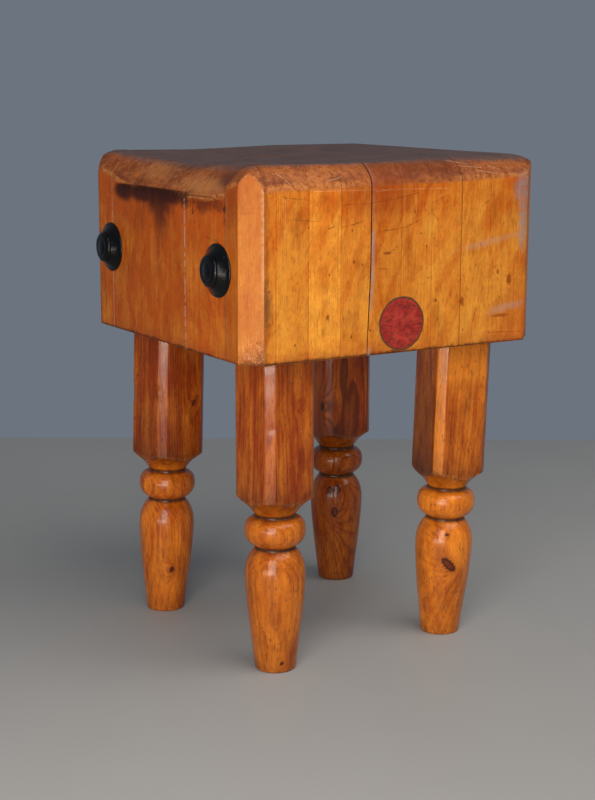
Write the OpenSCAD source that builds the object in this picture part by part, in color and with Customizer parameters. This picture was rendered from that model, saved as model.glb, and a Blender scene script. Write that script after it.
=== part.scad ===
// Butcher block table: a laminated end-grain chopping block, drawn together by two
// tie rods, on four turned legs.
// Millimetres. The origin is on the floor under the middle of the block, +Z is up,
// and the front of the table is its -Y side. Tie rods run along X.

/* [Block] */
// Width of the block, along X
block_w = 610; // [580:5:680]
// Depth of the block, along Y
block_d = 595; // [580:5:680]
// Height of the block, from its underside to the unworn top
block_h = 334; // [300:1:380]
// Width of the flat cut off each upright corner, measured along a face
corner_cut = 31.5; // [20:0.5:40]
// How far down the front and left faces the rounding of the top edges reaches
edge_drop = 35; // [25:1:45]
// Radius of the rounding of the front and left top edges, which are worn the most
edge_r = 72; // [60:1:90]
// How far down the back and right faces the rounding of the top edges reaches
far_drop = 30; // [20:1:45]
// Radius of the rounding of the back and right top edges
far_r = 32; // [30:1:90]
// Radius of the rounding of the lower edges
lower_r = 4; // [2:0.5:8]

/* [Wear] */
// Depth of the dish worn into the top
dish_depth = 18; // [8:1:25]
// Radius of the sphere that the dish follows
dish_r = 3100; // [2500:50:4500]
// Place of the deepest point of the dish, along X
dish_x = -122; // [-160:1:-60]
// How far down the left face the worn edge reaches, at its middle
saddle_drop = 64; // [50:1:75]
// Radius of the worn left edge, across the edge
saddle_r = 145; // [120:1:180]
// Radius of the worn left edge, along the edge
saddle_sweep = 740; // [600:10:1000]

/* [Staves] */
// Share of the block's width that each row of staves takes, from left to right
row_share = [55, 63, 63, 58, 66, 64, 63, 64, 59, 55]; // [40:1:80]
// Share of the block's depth that each stave of a row takes, from front to back
stave_share = [
    [74.5, 141, 208, 80, 91.5],
    [150, 120, 185, 140],
    [95, 170, 130, 200],
    [180, 90, 160, 165],
    [120, 195, 110, 170],
    [160, 135, 100, 200],
    [85, 175, 190, 145],
    [170, 110, 155, 160],
    [110, 150, 205, 130],
    [165, 130, 90, 210]
]; // [60:1:220]

/* [Legs] */
// Height of the legs, which is the height of the block's underside
leg_h = 567; // [540:1:600]
// Distance from the block's left or right face to the middle of a leg
leg_inset_x = 112; // [95:1:130]
// Distance from the block's front or back face to the middle of a leg
leg_inset_y = 100.5; // [85:0.5:130]
// Side of the square head of a leg
leg_side = 111; // [100:1:116]
// Width of the flat cut off each corner of the head, measured along a face
leg_cut = 15.5; // [8:0.5:20]
// Height where the corners of the head end
shoulder_z = 316; // [306:1:330]
// Radius of a leg's foot
foot_r = 37; // [30:0.5:40]
// Largest radius of the tapered bulb
bulb_r = 53.7; // [45:0.1:55]
// Largest radius of the turned ring
ring_r = 54.2; // [45:0.1:55]
// Radius of the two grooves above and below the ring
groove_r = 36; // [30:0.5:38]

/* [Tie rods] */
// Height of the front and the back tie rod above the block's underside
rod_rise = [150.5, 153.5]; // [120:0.5:200]
// Place of the front and the back tie rod, along Y
rod_y = [-199, 211]; // [-215:1:215]
// Diameter of a tie rod
rod_d = 16; // [12:0.5:18]
// Diameter of a bell washer
washer_d = 91; // [80:1:100]
// Height of a bell washer off the wood
washer_h = 16; // [10:0.5:18]
// Diameter of the low domed head of a cap nut
cap_d = 56; // [50:1:60]
// Height of the low domed head of a cap nut
cap_h = 7.5; // [6:0.5:12]
// Depth that the hub of a cap nut reaches into the wood
hub_depth = 22; // [15:1:30]

/* [Leg bolts] */
// Diameter of a hanger bolt
bolt_d = 16; // [12:0.5:18]
// Length of a hanger bolt inside the leg
bolt_in_leg = 95; // [70:1:120]
// Length of a hanger bolt inside the block
bolt_in_block = 45; // [42:1:60]
// Outer diameter of a threaded insert
insert_d = 25; // [22:0.5:30]
// Height of a threaded insert
insert_h = 40; // [30:1:42]

/* [Label] */
// Diameter of the round label
label_d = 95; // [80:1:96]
// Thickness of the round label
label_t = 0.4; // [0.3:0.1:0.8]
// Height of the label's middle above the block's underside
label_rise = 51.5; // [51:0.5:70]
// Place of the label's middle, along X
label_x = 1.5; // [-50:0.5:50]

/* [Hidden] */
$fn = 96;
big = 900;             // larger than the table, for cutting tools
thread_gap = 0.1;      // radial room that stands for a thread
bore_gap = 1;          // radial room round a tie rod in the wood
top_z = leg_h + block_h;
half_w = block_w / 2;
half_d = block_d / 2;
edge_reach = sqrt(2 * edge_r * edge_drop - edge_drop ^ 2);
far_reach = sqrt(2 * far_r * far_drop - far_drop ^ 2);
saddle_reach = sqrt(2 * saddle_r * saddle_drop - saddle_drop ^ 2);
hub_r = rod_d / 2 + 4;
rod_end = washer_h + 1.5;

// How each leg sits: side along X and Y, turn about its axis, and how far its foot
// stands away from the point below its head
LEG_NAMES = ["leg_front_left", "leg_back_left", "leg_front_right", "leg_back_right"];
LEG_SIDES = [[-1, -1], [-1, 1], [1, -1], [1, 1]];
LEG_TURNS = [7.6, 8.3, -8.1, -0.6];
LEG_LEANS = [[3, 0], [-13, 5.5], [-11, 10], [1, -2]];

// Each end of a tie rod: its side along X, and which rod it is
ROD_NAMES = ["tie_rod_front", "tie_rod_back"];
END_NAMES = ["left_front", "left_back", "right_front", "right_back"];
ENDS = [[-1, 0], [-1, 1], [1, 0], [1, 1]];

WOODS = ["#c8741f", "#b9651b", "#d08a35", "#bd6a1e", "#c57a2a"];

function total(v, n) = n <= 0 ? 0 : v[n - 1] + total(v, n - 1);
function edge_at(share, n, span) = span * (total(share, n) / total(share, len(share)) - 0.5);
function stave_name(row, i) = str("stave_", row + 1, chr(97 + i));
function bezier(a, b, c, d, n = 6) = [
    for (i = [1 : n]) let (t = i / n, u = 1 - t)
        u ^ 3 * a + 3 * u ^ 2 * t * b + 3 * u * t ^ 2 * c + t ^ 3 * d
];

STAVES = [for (row = [0 : len(row_share) - 1]) for (i = [0 : len(stave_share[row]) - 1]) [row, i]];

// A square with its four corners cut off
module cut_square(w, d, cut) {
    polygon([
        [-w / 2 + cut, -d / 2], [w / 2 - cut, -d / 2],
        [w / 2, -d / 2 + cut], [w / 2, d / 2 - cut],
        [w / 2 - cut, d / 2], [-w / 2 + cut, d / 2],
        [-w / 2, d / 2 - cut], [-w / 2, -d / 2 + cut]
    ]);
}

// What is cut off one corner of an outline: all that lies outside a circle set in from it
module corner_waste(reach, r) {
    difference() {
        translate([-reach, -r]) square([reach + r, 2 * r]);
        translate([-reach, -r]) circle(r);
    }
}

// The outline of the block seen along a face: round above, lightly eased below
module face_outline(w) {
    difference() {
        translate([-w / 2, leg_h]) square([w, block_h]);
        translate([-w / 2, top_z]) mirror([1, 0]) corner_waste(edge_reach, edge_r);
        translate([w / 2, top_z]) corner_waste(far_reach, far_r);
        for (side = [0, 1])
            mirror([side, 0]) translate([w / 2, leg_h]) mirror([0, 1]) corner_waste(lower_r, lower_r);
    }
}

// What has been worn off the left edge: a hollow along the edge, rounded across it
module saddle_wear() {
    axis_r = saddle_sweep - saddle_drop;
    translate([0, 0, top_z + axis_r])
        rotate([0, 90, 0])
            rotate_extrude($fn = 180)
                difference() {
                    translate([0, -big]) square([saddle_sweep + 20, big - half_w + saddle_reach]);
                    translate([axis_r + saddle_r, -half_w + saddle_reach]) circle(saddle_r);
                }
}

// The whole block as one shape, which the staves share out between them
module block_shape() {
    difference() {
        intersection() {
            translate([0, 0, leg_h]) linear_extrude(block_h) cut_square(block_w, block_d, corner_cut);
            rotate([90, 0, 0]) linear_extrude(big, center = true) face_outline(block_w);
            rotate([90, 0, 90]) linear_extrude(big, center = true) face_outline(block_d);
        }
        translate([dish_x, 0, top_z - dish_depth + dish_r]) sphere(dish_r, $fn = 180);
        saddle_wear();
    }
}

// Holes through the block for the tie rods, with room for the hubs of the cap nuts
module rod_holes() {
    for (i = [0, 1])
        translate([0, rod_y[i], leg_h + rod_rise[i]]) rotate([0, 90, 0]) {
            cylinder(h = big, r = rod_d / 2 + bore_gap, center = true);
            for (end = [-1, 1])
                translate([0, 0, end * (half_w - hub_depth / 2)])
                    cylinder(h = hub_depth + 2, r = hub_r + bore_gap, center = true);
        }
}

// Holes up into the block for the threaded inserts
module insert_holes() {
    for (side = LEG_SIDES)
        translate([side[0] * (half_w - leg_inset_x), side[1] * (half_d - leg_inset_y), leg_h]) {
            translate([0, 0, -1]) cylinder(h = insert_h + 1, r = insert_d / 2);
            cylinder(h = bolt_in_block + 10, r = bolt_d / 2 + bore_gap);
        }
}

// One stave, its grain upright: a row's share of the width, its own share of the depth
module stave(row, i) {
    x0 = edge_at(row_share, row, block_w);
    x1 = edge_at(row_share, row + 1, block_w);
    y0 = edge_at(stave_share[row], i, block_d);
    y1 = edge_at(stave_share[row], i + 1, block_d);
    color(WOODS[(2 * row + i) % len(WOODS)])
        difference() {
            intersection() {
                block_shape();
                translate([x0, y0, leg_h - 1]) cube([x1 - x0, y1 - y0, block_h + 2]);
            }
            rod_holes();
            insert_holes();
        }
}

// The turning of a leg, from its foot up: tapered bulb, groove, ring, groove, cove.
// It runs a little past both ends, so that a leaning leg can be cut level.
module leg_turning() {
    past = 8;
    rotate_extrude()
        polygon(concat(
            [[0, -past], [foot_r - 1.2, -past], [foot_r - 1.2, 0.3], [foot_r, 2.5]],
            bezier([foot_r, 2.5], [40.8, 48], [bulb_r - 1, 112], [bulb_r, 174], 10),
            bezier([bulb_r, 174], [bulb_r, 193], [48, 209.5], [37.5, 220.5], 8),
            [[groove_r, 222.5], [groove_r, 226.5]],
            bezier([37, 228], [46, 231], [ring_r, 241], [ring_r, 253.5]),
            bezier([ring_r, 253.5], [ring_r, 267], [51, 276], [38, 279]),
            [[groove_r, 280.5], [groove_r, 284.5]],
            bezier([38, 286], [43, 296.5], [53, 306], [leg_side * 0.65, shoulder_z + 3]),
            [[leg_side, shoulder_z + 3], [leg_side, leg_h + past], [0, leg_h + past]]
        ));
}

module leg(side, turn, lean) {
    at = [side[0] * (half_w - leg_inset_x), side[1] * (half_d - leg_inset_y), 0];
    color("#c06a1c")
        difference() {
            intersection() {
                translate(at + [0, 0, leg_h])
                    rotate([atan(lean[1] / leg_h), -atan(lean[0] / leg_h), turn])
                        translate([0, 0, -leg_h])
                            intersection() {
                                leg_turning();
                                linear_extrude(big) cut_square(leg_side, leg_side, leg_cut);
                                translate([0, 0, -20]) cylinder(h = big, r = leg_side);
                            }
                translate([-big / 2, -big / 2, 0]) cube([big, big, leg_h]);
            }
            translate(at + [0, 0, leg_h - bolt_in_leg]) cylinder(h = bolt_in_leg + 1, r = bolt_d / 2);
        }
}

// A tie rod, its ends inside the cap nuts
module tie_rod(i) {
    color("#6d6d70")
        translate([0, rod_y[i], leg_h + rod_rise[i]])
            rotate([0, 90, 0]) cylinder(h = block_w + 2 * rod_end, d = rod_d, center = true);
}

// Turns a shape that stands on z = 0 outwards from one end of a tie rod
module at_rod_end(end) {
    translate([end[0] * half_w, rod_y[end[1]], leg_h + rod_rise[end[1]]])
        rotate([0, end[0] * 90, 0]) children();
}

// The bell-shaped iron washer under a cap nut: a thin flange, then a cone up to the seat
module bell_washer(end) {
    seat_r = cap_d / 2 + 0.5;
    hole_r = hub_r + 0.6;
    rim_r = washer_d / 2;
    color("#17181a")
        at_rod_end(end)
            rotate_extrude()
                polygon(concat(
                    [[hole_r, 0], [rim_r, 0], [rim_r, 1.5]],
                    bezier([rim_r, 1.5], [rim_r - 0.3, 3.4], [rim_r - 2.5, 3.8], [rim_r - 5.5, 5]),
                    [[seat_r + 1, washer_h - 1], [seat_r, washer_h], [hole_r, washer_h]]
                ));
}

// The cap nut: a domed head outside the washer and a threaded hub that runs into the wood
module cap_nut(end) {
    head_r = cap_d / 2;
    crown = washer_h + cap_h;
    low = washer_h + 1;
    color("#141517")
        at_rod_end(end)
            difference() {
                union() {
                    rotate_extrude()
                        polygon(concat(
                            [[0, washer_h], [head_r, washer_h], [head_r, low]],
                            bezier([head_r, low], [head_r, low + 3.5], [head_r - 5, crown - 0.6],
                                   [head_r - 12, crown - 0.3], 10),
                            [[0, crown]]
                        ));
                    translate([0, 0, -hub_depth]) cylinder(h = hub_depth + washer_h + 1, r = hub_r);
                }
                translate([0, 0, -hub_depth - 1])
                    cylinder(h = hub_depth + 1 + rod_end + 1, r = rod_d / 2 + thread_gap);
            }
}

// The steel bolts that hold the legs: wood thread below, machine thread above
module hanger_bolts() {
    color("#77777a")
        for (side = LEG_SIDES)
            translate([side[0] * (half_w - leg_inset_x), side[1] * (half_d - leg_inset_y), leg_h - bolt_in_leg])
                cylinder(h = bolt_in_leg + bolt_in_block, d = bolt_d);
}

// The threaded inserts in the underside of the block
module threaded_inserts() {
    color("#8a8a86")
        for (side = LEG_SIDES)
            translate([side[0] * (half_w - leg_inset_x), side[1] * (half_d - leg_inset_y), leg_h])
                difference() {
                    cylinder(h = insert_h, d = insert_d);
                    translate([0, 0, -1]) cylinder(h = insert_h + 2, r = bolt_d / 2 + thread_gap);
                }
}

// A plain round paper label on the front face
module round_label() {
    color("#a8231c")
        translate([label_x, -half_d, leg_h + label_rise])
            rotate([90, 0, 0]) cylinder(h = label_t, d = label_d);
}

for (s = STAVES)
    stave(s[0], s[1]);
for (i = [0 : 3])
    leg(LEG_SIDES[i], LEG_TURNS[i], LEG_LEANS[i]);
for (i = [0 : 1])
    tie_rod(i);
for (i = [0 : 3])
    bell_washer(ENDS[i]);
for (i = [0 : 3])
    cap_nut(ENDS[i]);
hanger_bolts();
threaded_inserts();
round_label();
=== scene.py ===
"""Looks of the butcher block table: worn maple staves, varnished turned legs, black iron caps.

Lengths are in millimetres in the frame's own axes until a mesh is made, and then in metres.
Colours are sRGB values from 0 to 255 until a node takes them.
"""
import math
from functools import reduce

import bpy
import numpy as np
from mathutils import Matrix, Vector


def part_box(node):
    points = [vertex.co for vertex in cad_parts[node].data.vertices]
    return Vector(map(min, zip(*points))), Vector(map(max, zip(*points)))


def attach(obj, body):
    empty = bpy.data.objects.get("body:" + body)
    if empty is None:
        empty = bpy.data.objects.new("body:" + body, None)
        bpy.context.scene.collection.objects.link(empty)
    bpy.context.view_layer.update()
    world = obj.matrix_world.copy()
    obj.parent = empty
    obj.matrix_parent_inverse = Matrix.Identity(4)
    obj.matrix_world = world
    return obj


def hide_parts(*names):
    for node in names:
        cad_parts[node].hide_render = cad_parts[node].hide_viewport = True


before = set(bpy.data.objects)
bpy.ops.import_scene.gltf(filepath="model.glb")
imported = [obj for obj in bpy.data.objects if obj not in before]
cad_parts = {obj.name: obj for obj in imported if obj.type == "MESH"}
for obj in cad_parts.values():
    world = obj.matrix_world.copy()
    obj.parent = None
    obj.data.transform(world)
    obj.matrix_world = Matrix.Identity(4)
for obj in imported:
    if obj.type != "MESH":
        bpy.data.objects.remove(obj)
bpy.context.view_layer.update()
scene = bpy.context.scene

MM = 0.001
TAU = 2 * math.pi


# ---- places, from the frame
def box_mm(node):
    lo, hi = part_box(node)
    return np.array(lo) / MM, np.array(hi) / MM


NODES = list(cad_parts)
STAVES = sorted(n for n in NODES if n.startswith("stave_"))
LEGS = sorted(n for n in NODES if n.startswith("leg_"))
STAVE_BOX = {n: box_mm(n) for n in STAVES}
BLOCK_LO = np.min([b[0] for b in STAVE_BOX.values()], axis=0)
BLOCK_HI = np.max([b[1] for b in STAVE_BOX.values()], axis=0)
HALF_W, HALF_D = BLOCK_HI[0], BLOCK_HI[1]
UNDER, TOP = BLOCK_LO[2], BLOCK_HI[2]
CORNER_CUT = 31.5
OPEN_JOINT_X = -66
VIEW_TURN = 31.8  # degrees that the camera stands to the left of the front

rng = np.random.default_rng(24)


# ---- small numeric helpers
def linear(*srgb):
    """An sRGB colour as linear RGBA."""
    c = np.array(srgb) / 255
    c = np.where(c <= 0.04045, c / 12.92, ((c + 0.055) / 1.055) ** 2.4)
    return (*[float(v) for v in c], 1)


def smoothstep(lo, hi, x):
    t = np.clip((np.asarray(x, float) - lo) / (hi - lo), 0, 1)
    return t * t * (3 - 2 * t)


def wobble(points, size, seed):
    """Smooth noise about -1 to 1 at points (n, 3), with features of about the given size."""
    r = np.random.default_rng(seed)
    total = np.zeros(len(points))
    for octave in (1, 1.9, 3.7):
        for _ in range(3):
            way = r.normal(size=3)
            way *= TAU * octave / size / np.linalg.norm(way) / 2
            total += np.sin(points @ way + r.uniform(0, TAU)) / octave
    return total / 3


def bezier(a, b, c, d, n):
    """The n points of a Bezier curve after its first."""
    t = np.linspace(0, 1, n + 1)[1:, None]
    a, b, c, d = (np.array(v, float) for v in (a, b, c, d))
    return (1 - t) ** 3 * a + 3 * (1 - t) ** 2 * t * b + 3 * (1 - t) * t ** 2 * c + t ** 3 * d


# ---- shader graphs
class Graph:
    """Builds a node material in a few words, and keeps the colour that it is building."""

    def __init__(self, name):
        self.mat = bpy.data.materials.new(name)
        self.mat.use_nodes = True
        self.tree = self.mat.node_tree
        self.tree.nodes.clear()
        self.colour = None
        # the point in the table's own frame, in millimetres
        self.spot = self.vec("MULTIPLY", self.node("TexCoord").outputs["Object"], (1 / MM,) * 3)

    def node(self, kind, *values, **props):
        """A new node with its properties, and with its first inputs put to the values."""
        n = self.tree.nodes.new("ShaderNode" + kind)
        for key, value in props.items():
            setattr(n, key, value)
        for socket, value in zip(n.inputs, values):
            self.put(socket, value)
        return n

    def put(self, socket, value):
        if isinstance(value, bpy.types.NodeSocket):
            self.tree.links.new(value, socket)
        elif value is not None:
            socket.default_value = value

    def math(self, op, a, b=None):
        return self.node("Math", a, b, operation=op).outputs[0]

    def fold(self, op, terms):
        """Two or more terms taken together; a tuple among them stands for its product."""
        terms = [self.mul(*t) if isinstance(t, tuple) else t for t in terms]
        return reduce(lambda a, b: self.math(op, a, b), terms)

    def add(self, *terms):
        return self.fold("ADD", terms)

    def mul(self, *terms):
        return self.fold("MULTIPLY", terms)

    def most(self, *terms):
        return self.fold("MAXIMUM", terms)

    def opposite(self, value):
        return self.math("SUBTRACT", 1, value)

    def swing(self, value, amount):
        """A value from 0 to 1 as a swing about 0, the amount wide."""
        return self.mul(self.add(value, -0.5), amount)

    def vec(self, op, a, b=None):
        n = self.node("VectorMath", a, b, operation=op)
        return n.outputs["Value" if op in ("LENGTH", "DOT_PRODUCT") else "Vector"]

    def split(self, v):
        return self.node("SeparateXYZ", v).outputs

    def join(self, x, y, z):
        return self.node("CombineXYZ", x, y, z).outputs[0]

    def attribute(self, name, kind="Fac"):
        return self.node("Attribute", attribute_name=name).outputs[kind]

    def noise(self, scale, detail=2, rough=0.5, shift=0, at=None):
        """Noise at a scale, either the same along every axis or one for each."""
        moved = self.vec("MULTIPLY", at or self.spot, scale if isinstance(scale, tuple) else (scale,) * 3)
        if shift:
            moved = self.vec("ADD", moved, (shift, shift * 0.7, -shift))
        n = self.node("TexNoise", moved)
        n.inputs["Scale"].default_value = 1
        n.inputs["Detail"].default_value = detail
        n.inputs["Roughness"].default_value = rough
        return n.outputs["Fac"]

    def ramp(self, value, lo, hi, out_lo=0, out_hi=1):
        return self.node("MapRange", value, lo, hi, out_lo, out_hi,
                         interpolation_type="SMOOTHSTEP").outputs[0]

    def fall(self, value, lo, hi):
        return self.ramp(value, lo, hi, 1, 0)

    def mix(self, fac, a, b):
        """From one colour to another, each an output or an sRGB colour."""
        n = self.node("Mix", data_type="RGBA")
        self.put(n.inputs["Factor"], fac)
        for i, colour in ((6, a), (7, b)):
            self.put(n.inputs[i], linear(*colour) if isinstance(colour, tuple) else colour)
        return n.outputs[2]

    def tint(self, colour, *amounts):
        """Lays a colour over the one so far, by the product of the amounts."""
        self.colour = self.mix(self.mul(*amounts), self.colour, colour)

    def lighten(self, level):
        self.colour = self.vec("MULTIPLY", self.colour, self.join(*[level] * 3))

    def clip(self, value):
        return self.node("Clamp", value).outputs[0]

    def specks(self, scale, radii, channel, rarity):
        """1 in small spots, in the cells whose random colour channel is over the rarity."""
        n = self.node("TexVoronoi", self.vec("MULTIPLY", self.spot, scale))
        n.inputs["Scale"].default_value = 1
        chosen = self.split(n.outputs["Color"])[channel]
        return self.mul(self.fall(n.outputs["Distance"], *radii), self.ramp(chosen, rarity, rarity + 0.02))

    def patch(self, across, up, middle, radii, *warps, soft=0.3):
        """1 inside an ellipse on a face, fading to 0 at its warped edge."""
        a = self.mul(self.add(across, -float(middle[0])), 1 / radii[0])
        b = self.mul(self.add(up, -float(middle[1])), 1 / radii[1])
        reach = self.vec("LENGTH", self.join(a, b, 0))
        return self.fall(self.add(reach, *warps), 1 - soft, 1 + soft)

    def marks(self, across, up, lines):
        """1 along straight lines on a face, each (across, up, to across, to up, half width)."""
        here = self.join(across, up, 0)
        all_marks = []
        for u, v, to_u, to_v, half in lines:
            along = Vector((to_u - u, to_v - v, 0))
            rel = self.vec("SUBTRACT", here, (u, v, 0))
            t = self.clip(self.vec("DOT_PRODUCT", rel, tuple(along / along.length_squared)))
            near = self.vec("MULTIPLY", self.join(*[t] * 3), tuple(along))
            far = self.vec("LENGTH", self.vec("SUBTRACT", rel, near))
            all_marks.append(self.fall(far, half * 0.4, half * 1.6))
        return self.most(*all_marks)

    def bump(self, height, distance):
        n = self.node("Bump")
        n.inputs["Distance"].default_value = distance * MM
        self.put(n.inputs["Height"], height)
        return n.outputs[0]

    def shade(self, rough, normal=None, coat=(0, 0.03), specular=0.5, metal=0):
        """The finished material; coat is how much varnish there is and how rough it is."""
        n = self.node("BsdfPrincipled")
        for key, value in (("Base Color", self.colour), ("Roughness", rough), ("Normal", normal),
                           ("Coat Weight", coat[0]), ("Coat Roughness", coat[1]),
                           ("Specular IOR Level", specular), ("Metallic", metal)):
            self.put(n.inputs[key], value)
        out = self.node("OutputMaterial")
        self.tree.links.new(n.outputs[0], out.inputs["Surface"])
        return self.mat


def wood_figure(g, spacing, warp_mm):
    """Growth rings, fibres and broad streaks from the grain attribute, each about 0 to 1."""
    grain = g.attribute("grain", "Vector")
    u, v, w = g.split(grain)
    swirl = g.noise((0.013, 0.013, 0.0028), 2, at=grain)
    radius = g.add(g.vec("LENGTH", g.join(u, v, 0)), g.swing(swirl, warp_mm))
    year = g.math("FRACT", g.math("DIVIDE", radius, spacing))
    late = g.mul(g.ramp(year, 0.35, 0.93), g.fall(year, 0.93, 1))
    fibre = g.noise((0.75, 0.75, 0.012), 3, 0.6, 3.1, at=grain)
    streak = g.noise((0.11, 0.11, 0.0035), 3, 0.55, 7.7, at=grain)
    return grain, late, fibre, streak, w


# ---- materials
# marks that years of use have left, by place along the face and height
FRONT_CUTS = [  # dark scratches across the grain
    (-120, 826, -64, 826, 0.8), (-62, 827, -6, 834, 0.9), (-6, 834, 31, 841, 0.8),
    (-121, 790, -98, 793, 0.9), (-98, 793, -75, 799, 0.7), (-50, 778, 7, 784, 0.9),
    (7, 784, 37, 795, 0.8), (-150, 787, -138, 791, 0.8), (163, 634, 157, 609, 0.8),
    (212, 620, 216, 652, 0.5), (-222, 806, -170, 800, 0.5), (96, 700, 104, 716, 0.6),
    (170, 812, 186, 824, 0.6), (192, 588, 265, 584, 0.8), (-196, 742, -183, 770, 0.6),
    (-30, 740, -8, 752, 0.6), (60, 822, 98, 836, 0.6), (190, 700, 206, 706, 0.6),
    (-236, 842, -190, 836, 0.6), (-50, 716, -28, 714, 0.8), (-20, 700, -6, 706, 0.6),
    (120, 786, 128, 776, 0.6), (66, 806, 76, 790, 0.5), (-210, 660, -206, 690, 0.5),
]
FRONT_RUBS = [  # pale scratches and rubbed lines
    (-179, 850, -46, 849, 0.6), (-46, 849, 99, 847, 0.5), (-55, 846, -30, 848, 0.9),
    (-242, 880, -228, 868, 0.9), (-228, 868, -222, 862, 0.6), (112, 893, 150, 886, 0.8),
    (128, 884, 176, 880, 0.6), (-150, 866, -120, 872, 0.6), (190, 884, 214, 876, 0.6),
    (160, 876, 205, 869, 0.6), (-210, 872, -196, 858, 0.6), (-236, 700, -233, 840, 0.5),
]
FRONT_DOTS = [  # small knots and dents, with their reach along the face and up
    ((74, 654), (3.2, 3.2)), ((131, 648), (4, 7.5)), ((236, 681), (5, 11)), ((210, 695), (3, 4.5)),
    ((-98, 730), (3, 3)), ((26, 809), (2.4, 3)), ((-150, 640), (2.6, 4)), ((-214, 598), (2.4, 2.4)),
    ((218, 617), (18, 3)), ((-30, 741), (9, 2.5)),
]
LEFT_CUTS = [
    (-88, 836, -179, 837, 1.4), (-179, 837, -208, 830, 1.2), (-250, 817, -287, 818, 0.6),
    (-222, 800, -222, 862, 1.3), (-114, 826, -112, 806, 1.5), (-120, 812, -98, 800, 0.8),
    (-104, 822, -106, 794, 1.2), (-140, 842, -118, 880, 0.9), (70, 846, 38, 880, 0.8),
    (-160, 770, -205, 764, 0.6),
]
BURN = [  # middle, reach, softness, raggedness
    ((152, 829), (40, 17), 0.4, 0.8), ((30, 829), (118, 17), 0.35, 0.8),
    ((14, 816), (48, 28), 0.5, 1.5), ((11, 794), (27, 36), 0.7, 2),
]


def maple_fields(g):
    """Sets the places, noises and attributes that the block's wood is mixed from."""
    g.x, g.y, g.z = g.split(g.spot)
    g.grain, g.late, g.fibre, g.streak, g.along = wood_figure(g, 3.4, 14)
    g.tone, g.red, g.curl = g.split(g.attribute("look", "Vector"))
    g.wear = g.attribute("wear")
    g.grit = g.noise(0.11, 5, 0.7, 2)
    g.fine = g.noise(0.45, 4, 0.7, 12)
    g.smear = g.noise((0.017, 0.017, 0.028), 4, 0.6, 5)
    g.blotch = g.noise((0.02, 0.02, 0.013), 4, 0.6, 15)
    g.tick = g.noise((0.34, 0.34, 0.1), 3, 0.6, 21, at=g.grain)
    g.pores = g.ramp(g.noise((1.1, 1.1, 0.06), 2, 0.5, 11, at=g.grain), 0.6, 0.74)
    g.ragged = g.swing(g.noise((0.045, 0.045, 0.012), 4, 0.65, 9), 1.1)
    g.rubbed = g.swing(g.grit, 1.6)
    g.up = g.split(g.node("NewGeometry").outputs["Normal"])[2]


def varnished_maple(g):
    """Gold to amber in streaks and soft leaning swirls, redder towards the top, with pores."""
    high = g.ramp(g.add(g.z, g.swing(g.smear, 150)), UNDER + 170, UNDER + 290)
    lean = g.join(g.add(g.x, (g.z, -0.45)), g.y, g.z)
    swirl = g.ramp(g.noise((0.034, 0.034, 0.008), 3, 0.5, 44, at=lean), 0.5, 0.6)
    fac = g.add(0.19, g.swing(g.blotch, 1.25), g.swing(g.streak, 0.7), g.swing(g.fibre, 0.34),
                (g.late, 0.12), g.red, (high, 0.34), (swirl, 0.22))
    g.colour = g.mix(g.clip(fac), (225, 149, 52), (186, 84, 15))
    deep = g.noise((0.03, 0.03, 0.012), 4, 0.65, 33)
    g.tint((138, 50, 10), g.ramp(deep, 0.5, 0.78), 0.45)
    ripple = g.mul(g.noise((0.022, 0.022, 0.008), 3, at=g.grain), 34)
    bands = g.math("SINE", g.add((g.along, 0.16), ripple))
    level = g.add(g.tone, (bands, g.curl, 0.07), g.swing(deep, -0.25), g.swing(g.grit, 0.5),
                  g.swing(g.fibre, -0.14))
    g.lighten(level)
    g.tint((118, 54, 18), g.ramp(g.tick, 0.58, 0.72), 0.6)
    g.tint((112, 54, 18), g.pores, 0.5)
    for size, rarity in ((0.05, 0.55), (0.1, 0.72)):
        speck = g.specks((size, size, size * 0.7), (0.04, 0.1), 0, rarity)
        g.tint((66, 30, 14), speck, 0.75)


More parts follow.
